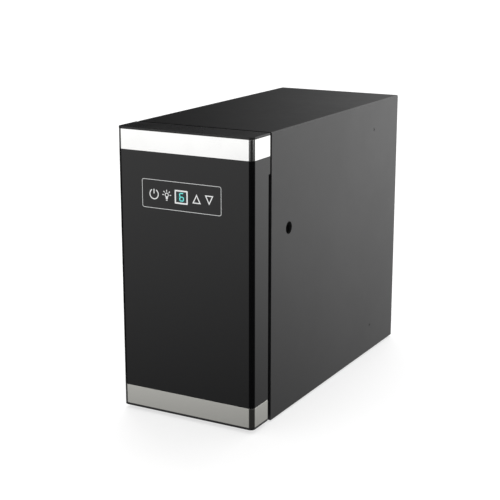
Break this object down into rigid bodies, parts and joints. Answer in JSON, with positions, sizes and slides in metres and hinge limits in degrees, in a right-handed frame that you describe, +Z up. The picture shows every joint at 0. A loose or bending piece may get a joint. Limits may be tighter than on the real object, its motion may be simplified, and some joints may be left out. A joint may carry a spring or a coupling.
{
  "type": "milk cooler",
  "caption": "Tall narrow insulated milk cooler with a full-height hinged door, touch panel, side hose port and thermoelectric cooling behind a bulkhead.",
  "frame": {"origin": "on the surface it stands on, under the middle of the body", "axes": "+X to the right seen from the front, the side with the hose port; +Y from the door to the back; +Z up"},
  "size_m": [0.2, 0.46, 0.387],
  "materials": {
    "black_steel": "satin black powder coat",
    "zinc_steel": "galvanised",
    "foam": "cut polyurethane foam",
    "white_liner": "smooth moulded polystyrene",
    "black_plastic": "moulded satin",
    "grey_plastic": "moulded matt",
    "lamp_white": "moulded satin",
    "lamp_lens": "frosted",
    "aluminium": "extruded",
    "ceramic": "alumina plates",
    "steel_wire": "bright plated",
    "bright_screws": "zinc plated",
    "black_screws": "black oxide",
    "circuit_board": "solder mask",
    "brass_standoffs": "turned",
    "transformer_tape": "taped winding",
    "capacitor_sleeve": "shrink sleeve",
    "terminal_green": "moulded",
    "mains_insulation": "PVC",
    "low_voltage_insulation": "silicone",
    "rubber_feet": "matt",
    "gloss_black": "high gloss",
    "bright_band": "polished trim",
    "brushed_band": "brushed trim",
    "gasket_rubber": "soft extrusion",
    "magnet": "bonded ferrite",
    "legend_white": "inlaid print",
    "display_glass": "dark tinted",
    "display_digit": "lit segments",
    "display_body": "moulded",
    "touch_foam": "conductive foam"
  },
  "bodies": {
    "cabinet": {"outer_cover": "black_steel", "rear_panel": "black_steel", "base_pan": "black_steel", "bulkhead": "zinc_steel", "upper_hinge_bracket": "zinc_steel", "lower_hinge_bracket": "zinc_steel", "hinge_pins": "zinc_steel", "insulation": "foam", "inner_liner": "white_liner", "air_baffle": "white_liner", "hose_bush": "black_plastic", "mains_inlet": "black_plastic", "rocker_bezel": "black_plastic", "cold_fan_frame": "black_plastic", "hot_fan_frame": "black_plastic", "drip_tray": "grey_plastic", "lamp_housing": "lamp_white", "lamp_lens": "lamp_lens", "cold_block": "aluminium", "cold_sink": "aluminium", "hot_sink": "aluminium", "psu_heatsink": "aluminium", "peltier_module": "ceramic", "fan_guard": "steel_wire", "inlet_pins": "steel_wire", "temperature_probe": "steel_wire", "hinge_screws": "bright_screws", "fan_screws": "bright_screws", "foot_screws": "bright_screws", "cover_screws": "black_screws", "rear_screws": "black_screws", "psu_board": "circuit_board", "psu_standoffs": "brass_standoffs", "psu_transformer": "transformer_tape", "psu_capacitors": "capacitor_sleeve", "psu_terminals": "terminal_green", "mains_leads": "mains_insulation", "peltier_leads": "low_voltage_insulation", "feet": "rubber_feet"},
    "door": {"door_skin": "gloss_black", "upper_band": "bright_band", "lower_band": "brushed_band", "top_cap": "black_plastic", "bottom_cap": "black_plastic", "door_frame": "grey_plastic", "door_foam": "foam", "door_liner": "white_liner", "gasket": "gasket_rubber", "gasket_magnet": "magnet", "hinge_blocks": "grey_plastic", "control_tray": "grey_plastic", "control_board": "circuit_board", "digit_module": "display_body", "touch_pads": "touch_foam", "legend_inlays": "legend_white", "display_window": "display_glass", "digit_segments": "display_digit"},
    "hot_rotor": {"hot_fan_rotor": "black_plastic"},
    "cold_rotor": {"cold_fan_rotor": "black_plastic"},
    "mains_rocker": {"rocker": "black_plastic"}
  },
  "joints": [
    {"name": "door_swing", "type": "hinge", "parent": "cabinet", "child": "door", "pos_m": [-0.088, -0.206, 0.195], "axis": [0, 0, -1], "range_deg": [0, 110]},
    {"name": "hot_fan_spin", "type": "hinge", "parent": "cabinet", "child": "hot_rotor", "pos_m": [0, 0.21, 0.21], "axis": [0, 1, 0], "continuous": true},
    {"name": "cold_fan_spin", "type": "hinge", "parent": "cabinet", "child": "cold_rotor", "pos_m": [0, 0.062, 0.21], "axis": [0, 1, 0], "continuous": true},
    {"name": "mains_rocker_tilt", "type": "hinge", "parent": "cabinet", "child": "mains_rocker", "pos_m": [0.022, 0.223, 0.08], "axis": [1, 0, 0], "range_deg": [0, 18]}
  ]
}
